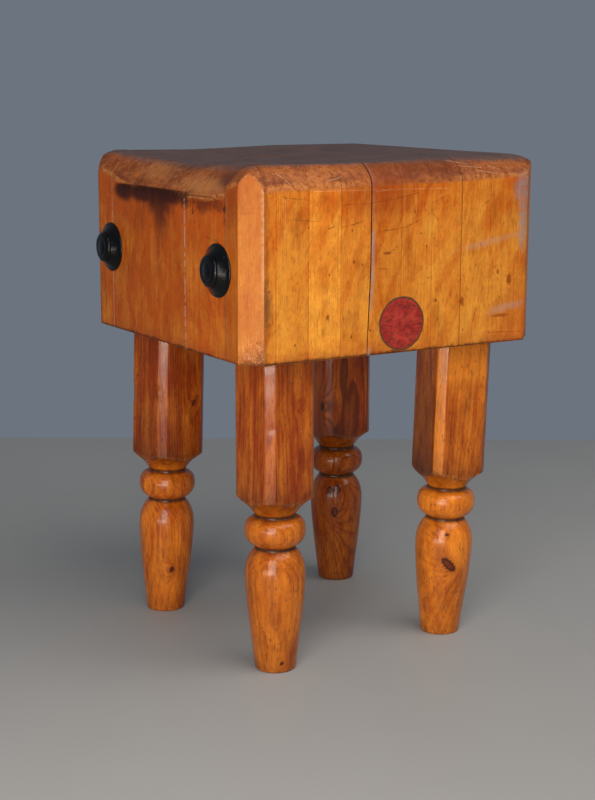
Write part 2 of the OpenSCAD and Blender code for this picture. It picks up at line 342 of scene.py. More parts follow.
def worn_faces(g):
    """Dirt low down, a dusty underside, edges rubbed bare, and a dark top with a painted grey sheen in its
    colour.
    """
    upright = g.ramp(g.up, -0.8, -0.5)
    low = g.fall(g.add(g.z, g.swing(g.smear, 60), (g.rubbed, 14)), UNDER, UNDER + 34)
    g.tint((158, 72, 30), low, 0.45)
    hem = g.add(g.z, (g.rubbed, 7), g.swing(g.smear, 10))
    g.tint((74, 33, 16), g.ramp(hem, UNDER + 1, UNDER + 8, 0.85, 0), upright)
    g.tint((30, 14, 8), g.ramp(g.z, UNDER + 1.4, UNDER + 3.2, 0.85, 0), upright)
    dusty = g.mix(g.ramp(g.grit, 0.35, 0.65), (142, 96, 62), (104, 66, 40))
    g.tint(dusty, g.ramp(g.up, -0.8, -0.95, 0, 0.8))

    bare = g.mix(g.ramp(g.smear, 0.3, 0.7), (168, 92, 44), (122, 58, 26))
    grimy = g.ramp(g.add((g.grit, 0.5), (g.fine, 0.5)), 0.48, 0.64)
    bare = g.mix(g.mul(grimy, 0.7), bare, (66, 35, 21))
    chafed = g.ramp(g.add((g.grit, 0.4), (g.fine, 0.6)), 0.48, 0.34)
    bare = g.mix(g.mul(chafed, 0.6), bare, (204, 150, 106))
    tan = g.mix(g.ramp(g.grit, 0.4, 0.64), (200, 124, 66), (148, 80, 38))
    bare = g.mix(g.ramp(g.add(g.up, g.swing(g.smear, 0.5)), 0.2, 0.62, 0.8, 0), bare, tan)
    g.edge = g.clip(g.mul(g.wear, g.add(0.5, (g.grit, 0.5), (g.smear, 0.5))))
    g.clean = g.opposite(g.edge)
    g.tint(bare, g.edge)

    # the top: dark brown wood with a painted grey sheen in its colour, and lighter scratches across it
    top_and_sheen = g.mix(g.ramp(g.smear, 0.2, 0.8), (108, 86, 82), (90, 71, 68))
    top_and_sheen = g.mix(g.mul(g.late, 0.35), top_and_sheen, (48, 35, 31))
    top_and_sheen = g.mix(g.ramp(g.grit, 0.5, 0.3, 0, 0.3), top_and_sheen, (120, 92, 76))
    scars = []
    for k, turn in enumerate((0.35, 1.5, 2.7)):
        c, s = math.cos(turn), math.sin(turn)
        lie = g.join(g.add((g.x, c), (g.y, s)), g.add((g.x, -s), (g.y, c)), 0)
        scars.append(g.ramp(g.noise((0.006, 0.7, 1), 2, 0.5, 3 + k, at=lie), 0.63, 0.7))
    g.scar = g.most(*scars)
    top_and_sheen = g.mix(g.mul(g.scar, 0.35), top_and_sheen, (132, 106, 92))
    g.flat = g.mul(g.ramp(g.add(g.up, g.swing(g.smear, 0.07)), 0.79, 0.97), g.wear)
    g.tint(top_and_sheen, g.flat)
    g.tint((196, 150, 112), g.scar, g.edge, 0.1)


def front_marks(g):
    """A redder stretch of edge, scratches, dents, a painted grey sheen and scuffs, and filler by the open
    joint.
    """
    x, z, ragged, rubbed = g.x, g.z, g.ragged, g.rubbed
    on_front = g.ramp(g.y, -HALF_D + 66, -HALF_D + 60)
    ruddy = g.mul(g.edge, g.ramp(x, OPEN_JOINT_X, OPEN_JOINT_X + 6),
                  g.fall(g.add(x, (ragged, 40)), 100, 150), g.opposite(g.flat))
    g.tint((112, 48, 20), ruddy, 0.5)
    cuts = g.mul(g.marks(x, z, FRONT_CUTS), on_front, g.ramp(g.grit, 0.7, 0.4))
    g.tint((104, 46, 16), cuts, 0.72)
    for middle, radii in FRONT_DOTS:
        g.tint((126, 54, 12), g.patch(x, z, middle, radii, rubbed, soft=0.4), on_front, 0.75)
    rubs = g.mul(g.marks(x, z, FRONT_RUBS), on_front, g.ramp(g.grit, 0.34, 0.6))
    g.tint((222, 174, 132), rubs, 0.45)
    # painted sheen: grey patches at the top right of the front, broken up by the grit
    painted_sheen = g.most(g.patch(x, z, (263, 842), (19, 24), ragged, rubbed, soft=0.5),
                  g.patch(x, z, (264, 788), (9, 52), ragged, rubbed, soft=0.5))
    g.tint((140, 126, 122), painted_sheen, g.ramp(g.grit, 0.3, 0.56), 0.8)
    slant = g.add(z, (x, -0.16))
    high_scuff = g.patch(x, slant, (186, 720), (60, 5), rubbed, rubbed, soft=0.7)
    scuff = g.most(g.patch(x, slant, (232, 594), (38, 6), rubbed, rubbed, ragged, soft=0.7),
                   (high_scuff, 0.5))
    g.tint((176, 146, 128), scuff, 0.55)
    warm = g.patch(x, z, (-40, 838), (66, 34), ragged, soft=0.6)
    g.tint((140, 54, 18), warm, 0.5)

    beside = g.math("SUBTRACT", x, g.ramp(z, 570, 740, -70, -63))
    strip = g.mul(g.ramp(beside, 0.2, 0.8), g.fall(g.add(beside, (rubbed, 4)), 4, 10))
    upper = g.mul(g.ramp(z, 690, 740), 0.2)
    lower = g.mul(g.ramp(z, 630, 670), g.fall(z, 770, 795))
    foot = g.fall(z, 572, 588)
    filler = g.mul(strip, g.most(upper, lower, foot), g.ramp(g.grit, 0.3, 0.55))
    g.tint((160, 134, 126), filler, on_front, 0.7)
    blush = g.patch(x, z, (300, 600), (88, 62), ragged, soft=0.7)
    g.tint((196, 92, 34), blush, 0.4)


def left_marks(g):
    """A burn with runs below it, a dark band under the worn edge, a bleached stretch of edge, a painted
    shadow on the edge near the corner, and cracks.
    """
    y, z, ragged, rubbed = g.y, g.z, g.ragged, g.rubbed
    on_left = g.ramp(g.x, -HALF_W + 130, -HALF_W + 110)
    bleached = g.most(g.patch(y, z, (-124, 853), (72, 12), ragged, rubbed, soft=0.6),
                      (g.patch(y, z, (62, 868), (62, 14), ragged, rubbed, rubbed, soft=0.7), 0.7))
    g.tint((196, 128, 72), bleached, on_left, g.edge, 0.55)
    # painted shadow: a dark brown patch on the worn edge near the corner
    painted_shadow = g.patch(y, z, (-204, 868), (32, 13), ragged, rubbed, soft=0.5)
    g.tint((84, 46, 34), painted_shadow, on_left, g.edge, 0.75)
    # a darker band just below the worn edge, towards the front
    dark_band = g.most(g.patch(y, z, (-156, 828), (68, 15), g.mul(ragged, 1.6), rubbed, soft=0.6),
                  (g.patch(y, z, (-246, 838), (24, 40), ragged, rubbed, soft=0.6), 0.7))
    g.tint((92, 34, 11), dark_band, on_left, g.clean, 0.8)
    burn = g.most(*[g.patch(y, z, middle, radii, g.mul(ragged, torn), soft=soft)
                    for middle, radii, soft, torn in BURN])
    burn = g.mul(burn, on_left, g.ramp(g.add(z, (rubbed, 2)), 843, 839),
                 g.ramp(z, 760, 822, 0.6, 1), g.ramp(g.add(g.fibre, g.streak), 0.85, 1.2, 1, 0.88))
    g.tint((74, 27, 9), burn)
    core = g.mul(g.ramp(g.add(z, (ragged, 16)), 806, 836), g.ramp(g.fibre, 0.75, 0.4, 0.75, 1))
    g.tint((44, 17, 8), burn, core, 0.85)
    cuts = g.mul(g.marks(y, z, LEFT_CUTS), on_left, g.ramp(g.grit, 0.66, 0.4))
    g.tint((50, 22, 12), cuts, 0.75)
    g.tint((24, 12, 8), g.patch(y, z, (-223, 821), (4.5, 7), rubbed), on_left)


def corner_marks(g):
    """The cut corner by the camera: peach, with rubbed edges and a dirty line on either side."""
    x, y, z, rubbed = g.x, g.y, g.z, g.rubbed
    off_side = CORNER_CUT - HALF_W
    off_front = CORNER_CUT - HALF_D
    cut = g.mul(g.ramp(x, off_side + 0.3, off_side - 0.3), g.ramp(y, off_front + 0.3, off_front - 0.3),
                g.clean)
    g.tint((188, 108, 46), cut, g.add(0.2, (g.smear, 0.6)))
    height = g.add(z, g.swing(g.smear, 70), (rubbed, 16), (x, -1))
    g.tint((100, 52, 34), cut, g.fall(height, UNDER + 272, UNDER + 325), 0.8)
    flake = g.ramp(g.add((g.fine, 0.6), (g.grit, 0.4)), 0.52, 0.6)
    g.tint((226, 170, 120), cut, flake, g.ramp(z, 590, 640, 1, 0.15), 0.5)
    side = g.mul(g.ramp(x, -HALF_W + 1.5, -HALF_W + 0.5), g.ramp(y, -HALF_D + 31, -HALF_D + 32))
    g.tint((156, 70, 16), side, 0.55)
    rim = g.mul(g.ramp(g.add(x, (rubbed, 3)), -278, -275), g.ramp(g.grit, 0.3, 0.55))
    g.tint((220, 172, 132), cut, rim, g.ramp(z, 640, 720), 0.35)
    front = g.ramp(x, -273.6, -273.2)
    dirt = g.fall(g.add(x, g.swing(g.smear, 16)), -271, -262)
    g.tint((104, 54, 26), front, dirt, 0.5)
    seam = g.fall(g.add(y, g.swing(g.smear, 12)), -264.5, -259)
    g.tint((96, 42, 16), g.ramp(y, -266.4, -265.8), seam, 0.4)
    smudge = g.patch(x, z, (-270, 664), (12, 34), g.ragged, rubbed, soft=0.6)
    g.tint((88, 50, 34), smudge, front, 0.6)


def block_material(name, front=False, left=False):
    g = Graph(name)
    maple_fields(g)
    varnished_maple(g)
    worn_faces(g)
    if front:
        front_marks(g)
    if left:
        left_marks(g)
    if front and left:
        corner_marks(g)
    g.tint((48, 22, 10), g.attribute("joint"))
    patchy = g.ramp(g.noise((0.07, 0.07, 0.1), 3, 0.6, 4), 0.36, 0.54)
    g.tint((186, 152, 136), g.attribute("putty"), g.clean, patchy, 0.85)
    rough = g.add(0.34, (g.edge, 0.2), (g.fibre, 0.1), (g.grit, 0.1))
    height = g.add((g.fibre, 0.45), (g.late, -0.25), (g.pores, -0.7), (g.blotch, 1.6),
                   (g.tick, -0.3), (g.grit, g.wear, 2.4), (g.scar, g.flat, -0.8))
    return g.shade(rough, g.bump(height, 0.25), coat=(0.05, 0.2), specular=0.1)


def leg_material():
    g = Graph("leg_varnish")
    grain, late, fibre, streak, _ = wood_figure(g, 5, 22)
    tone, red, dirt = g.split(g.attribute("look", "Vector"))
    blotch = g.noise((0.03, 0.03, 0.011), 4, 0.62, 15)
    grit = g.noise(0.12, 4, 0.65, 2)
    fine = g.noise((0.4, 0.4, 0.3), 4, 0.7, 12)
    # pale: paler wood, and on the front right leg's chamfer partly a painted highlight
    pale = g.attribute("pale")
    pale = g.clip(g.add(pale, (g.add(blotch, -0.5), pale, 4)))
    fac = g.add(0.4, g.swing(blotch, 1.6), g.swing(streak, 0.9), g.swing(fibre, 0.8), (late, 0.14), red,
                (pale, -0.7))
    g.colour = g.mix(g.clip(fac), (220, 126, 34), (148, 54, 3))
    deep = g.noise((0.06, 0.06, 0.012), 4, 0.65, 33, at=grain)
    g.tint((84, 34, 11), g.ramp(deep, 0.48, 0.76), 0.5)
    g.tint((66, 26, 8), late, g.attribute("figure"))
    g.lighten(g.add(tone, g.swing(grit, 0.4)))
    g.tint((214, 134, 66), g.attribute("rubbed"), g.ramp(grit, 0.3, 0.6), 0.35)
    tick = g.noise((0.3, 0.3, 0.08), 3, 0.6, 21, at=grain)
    g.tint((78, 32, 12), g.ramp(tick, 0.57, 0.7), 0.6)
    patchy = g.ramp(g.add((grit, 0.5), (fine, 0.5)), 0.42, 0.58)
    # dirt and painted shade on the legs, broken up into patches
    g.tint((58, 25, 12), g.attribute("grime"), patchy)
    g.tint((52, 22, 10), g.specks((0.06, 0.06, 0.05), (0.05, 0.1), 1, 0.6), 0.75)
    g.tint((122, 44, 16), g.attribute("halo"))
    knot = g.attribute("knot")
    g.tint((42, 18, 10), g.ramp(knot, 0.05, 0.5), 0.9)
    g.tint((112, 46, 20), g.ramp(knot, 0.6, 0.95), g.ramp(fine, 0.36, 0.52))
    g.tint((222, 176, 136), g.specks((0.075, 0.075, 0.05), (0.03, 0.07), 2, 0.7), 0.6)
    g.tint((24, 12, 7), dirt, g.ramp(grit, 0.2, 0.5, 0.75, 1))
    rough = g.add(0.24, (fibre, 0.08), (grit, 0.12), (dirt, 0.3))
    height = g.add((fibre, 0.4), (late, -0.2), (blotch, 1.2), (grit, 0.5))
    return g.shade(rough, g.bump(height, 0.2), coat=(0.5, 0.13), specular=0.1)


def iron_material():
    g = Graph("black_iron")
    cast = g.noise(0.3, 4, 0.6)
    lumps = g.noise(0.09, 3, 0.6, 3)
    chips = g.ramp(g.noise(0.13, 4, 0.7, 6), 0.68, 0.72)
    g.colour = g.mix(cast, (3, 3, 4), (9, 9, 11))
    g.tint((58, 56, 56), chips, 0.3)
    rough = g.add(0.15, (cast, 0.12), (chips, 0.25))
    normal = g.bump(g.add(cast, (lumps, 2.2), (chips, -0.6)), 0.25)
    return g.shade(rough, normal, coat=(0.05, 0.12), specular=0.24)


def steel_material():
    g = Graph("dull_steel")
    stain = g.noise(0.05, 4, 0.6)
    lines = g.noise((0.02, 1.4, 1.4), 2)
    g.colour = g.mix(g.ramp(stain, 0.4, 0.7), (132, 132, 134), (92, 84, 78))
    rough = g.add(0.3, (lines, 0.15), (stain, 0.1))
    return g.shade(rough, g.bump(lines, 0.05), metal=1)


def label_material(middle):
    g = Graph("red_label")
    across, _, up = g.split(g.vec("SUBTRACT", g.spot, middle))
    reach = g.vec("LENGTH", g.join(across, 0, up))
    fade = g.noise(0.05, 4, 0.65)
    worn = g.noise((0.12, 0.12, 0.3), 4, 0.7, 2)
    g.colour = g.mix(g.ramp(fade, 0.35, 0.65), (150, 24, 14), (176, 52, 34))
    g.tint((84, 26, 18), g.ramp(worn, 0.46, 0.62), 0.75)
    ring = g.mul(g.ramp(reach, 36.6, 37), g.fall(reach, 37.6, 38))
    g.tint((96, 44, 26), ring, g.ramp(worn, 0.35, 0.55), 0.6)
    rim = g.ramp(reach, 43.6, 44.4)
    g.tint((70, 54, 22), rim, 0.9)
    chips = g.ramp(g.noise(0.2, 3, 0.6, 8), 0.64, 0.67)
    g.tint((150, 96, 44), chips, rim)
    rough = g.add(0.32, (worn, 0.2))
    return g.shade(rough, g.bump(worn, 0.08), coat=(0.3, 0.2))


def floor_material():
    g = Graph("pale_floor")
    cloud = g.noise(0.002, 4, 0.6)
    g.colour = g.mix(cloud, (160, 158, 153), (169, 167, 163))
    return g.shade(0.6)


# ---- meshes
def piece(name, points, faces, material, body="root", slot=None, replaces=None, smooth_angle=50, **fields):
    """A mesh object in metres from points in millimetres, riding on a body.
    fields are per-point attributes: (n,) numbers or (n, 3) vectors."""
    mesh = bpy.data.meshes.new(name)
    mesh.from_pydata((np.asarray(points) * MM).tolist(), [], faces)
    for key, values in fields.items():
        values = np.asarray(values, np.float32)
        kind = "FLOAT" if values.ndim == 1 else "FLOAT_VECTOR"
        layer = mesh.attributes.new(key, kind, "POINT")
        layer.data.foreach_set("value" if kind == "FLOAT" else "vector", values.ravel())
    mesh.validate()
    mesh.shade_smooth()
    mesh.set_sharp_from_angle(angle=math.radians(smooth_angle))
    mesh.materials.append(material)
    obj = bpy.data.objects.new(name, mesh)
    scene.collection.objects.link(obj)
    if body:
        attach(obj, body)
    if replaces:
        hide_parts(replaces)
    return obj


def band(ring, next_ring, flip=False):
    """Faces between two closed rings of as many points."""
    quads = np.column_stack([ring, np.roll(ring, -1), np.roll(next_ring, -1), next_ring])
    return (quads[:, [0, 3, 2, 1]] if flip else quads).tolist()


def grain_from(rel, r, tilt_range, pith_range):
    """Places in the tree that a stick was cut from: its pith lies some way off."""
    angle = r.uniform(0, TAU)
    offset = r.uniform(*pith_range)
    tilt = r.uniform(-tilt_range, tilt_range, 2)
    u = np.cos(angle) * rel[:, 0] - np.sin(angle) * rel[:, 1] + tilt[0] * rel[:, 2] + offset
    v = np.sin(angle) * rel[:, 0] + np.cos(angle) * rel[:, 1] + tilt[1] * rel[:, 2]
    w = rel[:, 2] + r.uniform(-900, 900)
    return np.column_stack([u, v, w])


# ---- the block's worn shape
def rounded(inset, drop, reach):
    """How far an edge rounding lies below the top at a distance in from the face."""
    radius = (reach ** 2 + drop ** 2) / (2 * drop)
    t = np.clip(reach - inset, 0, reach)
    return radius - np.sqrt(radius ** 2 - t ** 2)


def left_wear(y):
    """How much of the left edge is worn away, 0 to 1, along the edge."""
    back_end = 1 - smoothstep(95, 285, y)
    front_end = np.where(y > -222.9, 1 - 0.25 * smoothstep(-150, -223, y), 0.3 * smoothstep(-268, -223, y))
    return back_end * front_end


def top_height(x, y):
    """Height of the worn top at a place in plan."""
    dish = np.maximum(0, 18 - ((x + 122) ** 2 + y ** 2) / 6200)
    wear = left_wear(y)
    left = rounded(x + HALF_W, 35, 62) * (1 - wear) + rounded(x + HALF_W, 65, 118) * wear
    front = rounded(y + HALF_D, 38.5 - 6 * x / HALF_W, 62)
    back = rounded(HALF_D - y, 30, 32)
    right = rounded(HALF_W - x, 30, 32)
    drops = np.stack([dish, left, front, back, right])
    return TOP - (drops ** 8).sum(axis=0) ** (1 / 8)


# ---- staves
# lines across a stave, measured in from an outer face: symmetrical about half the corner
# cut, so that the cut passes through points of the mesh
OUTER_LINES = [0, 1.2, 4, 8, 12, CORNER_CUT / 2, 19.5, 23.5, 27.5, 30.3, CORNER_CUT]
JOINT_LINES = [0, 1, 3.5]
CELL = 7
WALL_DROPS = [1.5, 4, 8, 14, 22]  # rings of wall points below the top, the rest evenly down
WALL_RINGS = 40
LOWER_R = 4
GAP = 0.06
SIDES = {"left": (0, 1), "right": (0, -1), "front": (1, 1), "back": (1, -1)}  # axis, way in


def stave_lines(lo, hi, outer_lo, outer_hi):
    """Places of the mesh lines across one side of a stave."""
    first = [lo + t for t in (OUTER_LINES if outer_lo else JOINT_LINES)]
    last = [hi - t for t in (OUTER_LINES if outer_hi else JOINT_LINES)][::-1]
    count = max(2, round((last[0] - first[-1]) / CELL) + 1)
    return np.array(first + list(np.linspace(first[-1], last[0], count)[1:-1]) + last)


# joints that show: side of the block, place along it, darkness, pale filler
OPEN_JOINTS = [
    ("front", OPEN_JOINT_X, 1, 0), ("front", 126, 0.95, 0), ("front", -124, 0.4, 0),
    ("front", 61, 0.5, 0), ("left", 206.5, 0.5, 0.4), ("left", 126.2, 0.5, 0),
    ("left", -81.8, 0.85, 0.7), ("left", -222.8, 0.95, 0.1),
]


def stave_plan(lo, hi, outer):
    """A stave's points in plan, the cells between them, and its rim as a loop of points."""
    xs = stave_lines(lo[0], hi[0], outer["left"], outer["right"])
    ys = stave_lines(lo[1], hi[1], outer["front"], outer["back"])
    gx, gy = np.meshgrid(xs, ys, indexing="ij")
    corner = np.minimum(HALF_W - np.abs(gx), CORNER_CUT) + np.minimum(HALF_D - np.abs(gy), CORNER_CUT)
    keep = corner > CORNER_CUT - 0.01
    index = -np.ones(gx.shape, int)
    index[keep] = np.arange(keep.sum())
    plan = np.stack([gx[keep], gy[keep]], axis=1)

    cells = []
    for i in range(len(xs) - 1):
        for j in range(len(ys) - 1):
            ring = [index[i, j], index[i + 1, j], index[i + 1, j + 1], index[i, j + 1]]
            ring = [int(v) for v in ring if v >= 0]
            if len(ring) >= 3:
                cells.append(ring)
    edges = {(a, b) for ring in cells for a, b in zip(ring, ring[1:] + ring[:1])}
    rim = {a: b for a, b in edges if (b, a) not in edges}
    loop = [min(rim)]
    while rim[loop[-1]] != loop[0]:
        loop.append(rim[loop[-1]])
    return plan, cells, np.array(loop)


def stave(name):
    lo, hi = STAVE_BOX[name]
    outer = {"left": lo[0] < -HALF_W + 1, "right": hi[0] > HALF_W - 1,
             "front": lo[1] < -HALF_D + 1, "back": hi[1] > HALF_D - 1}
    plan, cells, loop = stave_plan(lo, hi, outer)

    # how near each plan point is to the outer faces and to the stave's joints
    px, py = plan[:, 0], plan[:, 1]
    in_x, in_y = HALF_W - np.abs(px), HALF_D - np.abs(py)
    to_face = np.minimum.reduce([in_x, in_y, (in_x + in_y - CORNER_CUT) / math.sqrt(2)])
    joint_x = np.minimum(np.where(outer["left"], 99, px - lo[0]), np.where(outer["right"], 99, hi[0] - px))
    joint_y = np.minimum(np.where(outer["front"], 99, py - lo[1]), np.where(outer["back"], 99, hi[1] - py))
    at_joint = np.minimum(joint_x, joint_y) < 0.5

    step = rng.uniform(0, 0.7)
    top = top_height(px, py) - 0.4 - step - 0.5 * at_joint
    inset = np.clip(LOWER_R - to_face, 0, LOWER_R)
    under = UNDER + LOWER_R - np.sqrt(LOWER_R ** 2 - inset ** 2) + 0.4 * at_joint
    n = len(plan)
    points = [np.column_stack([plan, top]), np.column_stack([plan, under])]
    faces = cells + [[v + n for v in c[::-1]] for c in cells]

    # walls: rings of points between the top's rim and the underside's rim
    rings = [loop]
    for k in range(WALL_RINGS):
        if k < len(WALL_DROPS):
            z = top[loop] - WALL_DROPS[k]
        else:
            t = (k - len(WALL_DROPS) + 1) / (WALL_RINGS - len(WALL_DROPS) + 1)
            z = (top[loop] - WALL_DROPS[-1]) * (1 - t) + under[loop] * t
        points.append(np.column_stack([plan[loop], z]))
        rings.append(2 * n + k * len(loop) + np.arange(len(loop)))
    rings.append(loop + n)
    for ring, next_ring in zip(rings, rings[1:]):
        faces += band(next_ring, ring)
    return finish_stave(name, np.vstack(points), faces, lo, hi, outer)


def part_joints(p, moved, width, outer, lo, hi):
    """Sets a stave's joint faces a hair apart, and gives how dark and how filled they are."""
    x, y, z = p.T
    joint = np.zeros(len(p))
    putty = np.zeros(len(p))
    for side, (axis, way) in SIDES.items():
        if outer[side]:
            continue
        at = width[side] < 0.01
        place = lo[axis] if way > 0 else hi[axis]
        face, near = ("front", -y > HALF_D - 60) if axis == 0 else ("left", -x > HALF_W - 60)
        dark, pale = 0.15, 0
        for where, spot, darkness, filler in OPEN_JOINTS:
            if where == face and abs(place - spot) < 3:
                dark, pale = darkness, filler
        joint = np.maximum(joint, np.where(at, np.where(near, dark, 0.16), 0))
        putty = np.maximum(putty, np.where(near & (width[side] < 1.5), pale, 0))
        moved[:, axis] += np.where(at, way * GAP, 0)
        if axis == 0 and abs(place - OPEN_JOINT_X) < 3:
            # this one leans, and has parted by about 3 mm at the front
            depth = smoothstep(-HALF_D + 90, -HALF_D + 5, y)
            lean = 3 - 7 * smoothstep(740, 570, z)
            opening = 1.35 * (1 + 0.25 * np.sin(z / 31) + 0.12 * np.sin(z / 7)) * smoothstep(560, 640, z + 30)
            moved[:, 0] += np.where(width[side] < 4, depth * lean * (1 - width[side] / 4), 0)
            moved[:, 0] += np.where(at, way * opening * depth, 0)
    return joint, putty


def finish_stave(name, p, faces, lo, hi, outer):
    """Moves the points a little for joints and wear, adds the attributes and makes the piece."""
    x, y, z = p.T
    width = {"left": x - lo[0], "right": hi[0] - x, "front": y - lo[1], "back": hi[1] - y}
    moved = p.copy()
    joint, putty = part_joints(p, moved, width, outer, lo, hi)
    height = top_height(x, y)

    for side, (axis, way) in SIDES.items():
        if outer[side]:
            # joints lie a little back, and the crease under the rounding is eased
            fall = np.clip(1 - np.maximum(0, height - 0.8 - z) / 11, 0, 1) ** 2
            back = 0.35 * (joint > 0) + 0.15 * np.maximum(0, 1 + wobble(p, 90, 5)) + 1.3 * fall
            moved[:, axis] += way * (width[side] < 0.01) * back
            moved[:, 2] -= 1.1 * fall * np.clip(1 - width[side] / 8, 0, 1) ** 2

    # wear and dents on the rounding and the top
    wear = smoothstep(-8, -2.6, z - height + 1.75 * wobble(p, 40, 11))
    near_edge = np.minimum(HALF_W - np.abs(x), HALF_D - np.abs(y)) < 70
    dents = np.clip(wobble(p, 34, 21) - 0.75, 0, 1) * 3 * (z > height - 3) * near_edge
    moved[:, 2] -= dents * (z > UNDER + 200)

    mid = (lo + hi) / 2
    grain = grain_from(moved - [mid[0], mid[1], UNDER + 150], rng, 0.05, (35, 110))
    chance = (rng.uniform(0.9, 1.05), rng.uniform(0, 0.3), rng.uniform(0, 0.4))
    look = np.tile(STAVE_LOOK.get(name, chance), (len(p), 1))
    material = BLOCK[("front" if outer["front"] else "") + ("left" if outer["left"] else "")]
    return piece(name + "_wood", moved, faces, material, slot="block_wood", replaces=name,
                 grain=grain, look=look, wear=wear, joint=joint, putty=putty)


# how light, how red and how curly the staves on show are; the rest are drawn by chance
STAVE_LOOK = {
    "stave_1a": (0.96, 0.22, 0.1), "stave_1b": (0.98, 0.6, 0.1), "stave_1c": (0.9, 0.66, 0.2),
    "stave_1d": (0.9, 0.62, 0.1), "stave_1e": (0.96, 0.5, 0.1),
    "stave_2a": (0.94, 0.12, 0.2), "stave_3a": (1.06, -0.1, 1), "stave_4a": (0.98, 0.1, 0.2),
    "stave_5a": (0.90, 0.28, 0.2), "stave_6a": (0.97, 0.14, 0.2), "stave_7a": (0.99, 0.1, 0.3),
    "stave_8a": (0.98, 0.02, 0.2), "stave_9a": (0.96, 0.14, 0.2), "stave_10a": (0.95, 0.16, 0.2),
}


# ---- legs
LEG_SIDE, LEG_CUT = 111, 15.5
LEVEL_Z, SHOULDER_Z = 298, 316  # rings of points are level up to the first; the flats start by the second
LEG_INSET = (112, 100.5)
LEG_SET = {  # sides along X and Y, turn, lean of the foot, lightness, redness, figure, lightness when turned
    "leg_front_left": (-1, -1, 7.6, (3, 0), 0.94, 0.34, 0.14, 1),
    "leg_back_left": (-1, 1, 8.3, (-13, 5.5), 0.92, 0.4, 0.15, 1.22),
    "leg_front_right": (1, -1, -8.1, (-11, 10), 1.02, 0.16, 0.1, 1.1),
    "leg_back_right": (1, 1, -0.6, (1, -2), 1.36, 0.46, 0.6, 0.62),
}
KNOTS = {  # height, bearing round the leg in degrees, radius, slant
    "leg_front_right": [(143, -107, 15, -1.3), (200, -112, 4, 0)],
    "leg_back_right": [(376, -150, 9, 0), (199, -120, 10, 0), (195, -138, 11, 0), (152, -126, 11, 0)],
    "leg_front_left": [(18, -112, 4, 0), (484, -76, 2.5, 0)],
    "leg_back_left": [(88, -112, 6, 0), (466, 154, 4, 0), (420, -70, 6, 0.5)],
}
PROFILE = np.vstack([  # radius and height of the turning, from the foot up to the head
    [[35.2, 0], [36.4, 0.8], [37, 2.5]],
    bezier((37, 2.5), (40.8, 48), (52.7, 112), (53.7, 174), 36),
    bezier((53.7, 174), (53.7, 193), (48, 209.5), (37.5, 220.5), 14),
    [[36.4, 221.6], [36, 223], [36, 226], [36.5, 227.4]],
    bezier((37.2, 228), (46, 231), (54.2, 241), (54.2, 253.5), 12),
    bezier((54.2, 253.5), (54.2, 267), (51, 276), (38, 279), 12),
    [[36.6, 279.8], [36, 281], [36, 284], [36.6, 285.2]],
    bezier((38, 286), (43, 296.5), (53, 306), (LEG_SIDE * 0.65, SHOULDER_Z + 3), 14),
])


def head_radius(bearing):
    """Distance from the axis to the cut square's side, with its arrises eased."""
    c, s = np.abs(np.cos(bearing)), np.abs(np.sin(bearing))
    flat = LEG_SIDE / 2 / np.maximum(c, s)
    cut = (LEG_SIDE - LEG_CUT) / (c + s)
    return (flat ** -60 + cut ** -60) ** (-1 / 60)


def flat_end(side):
    """Height at which the turning reaches the head's side, so where a flat ends."""
    z = np.linspace(LEVEL_Z, SHOULDER_Z + 3, 200)
    return np.interp(side, np.interp(z, PROFILE[:, 1], PROFILE[:, 0]), z)


def leg_bearings():
    """Bearings of the lines of mesh points up a leg, closer together at the arrises."""
    arris = math.atan2(LEG_SIDE / 2 - LEG_CUT, LEG_SIDE / 2)
    clear, ease = 0.035, 0.014
    bearings = []
    for mid in np.arange(4) * TAU / 4:
        bearings += list(mid + np.linspace(-arris + clear, arris - clear, 15))
        bearings += list(mid + np.linspace(arris + clear, TAU / 4 - arris - clear, 5))
        for edge in (mid + arris, mid + TAU / 4 - arris):
            bearings += [edge - ease, edge + ease]
    return np.array(sorted(bearings))


def leg_mesh():
    """Points and faces of an even leg about its own axis, with the foot at height 0."""
    bearings = leg_bearings()
    m = len(bearings)
    side = head_radius(bearings)
    rows = [(np.minimum(r, side), np.full(m, z)) for r, z in PROFILE if z < LEVEL_Z]
    # the turning meets the flats along scallops: slide the rows there so one follows them
    meet = flat_end(side)
    for t in (0, 0.35, 0.65, 0.85, 0.96, 1):
        z = LEVEL_Z + (meet - LEVEL_Z) * t
        rows.append((np.interp(z, PROFILE[:, 1], PROFILE[:, 0]), z))
    rows.append((side - 0.25, meet + 0.35))
    for t in np.linspace(0.006, 1, 52):
        rows.append((side, meet + 1.2 + (UNDER - meet - 1.2) * t))
    points = np.vstack([np.column_stack([r * np.cos(bearings), r * np.sin(bearings), z]) for r, z in rows])
    first_top = (len(rows) - 1) * m
    faces = []
    for start in range(0, first_top, m):
        faces += band(np.arange(start, start + m), np.arange(start + m, start + 2 * m))

    # close the foot and the head with rings that shrink to a point
    for z_end, first, way in ((0, 0, -1), (UNDER, first_top, 1)):
        ring = np.arange(first, first + m)
        rim = points[first:first + m]
        for shrink in (0.8, 0.55, 0.3, 0.12):
            next_ring = len(points) + np.arange(m)
            points = np.vstack([points, np.column_stack([rim[:, :2] * shrink, np.full(m, z_end)])])
            faces += band(ring, next_ring) if way > 0 else band(next_ring, ring)
            ring = next_ring
        tip = len(points)
        points = np.vstack([points, [[0, 0, z_end]]])
        faces += [[int(ring[i]), int(ring[(i + 1) % m]), tip][::way] for i in range(m)]
    return points, faces


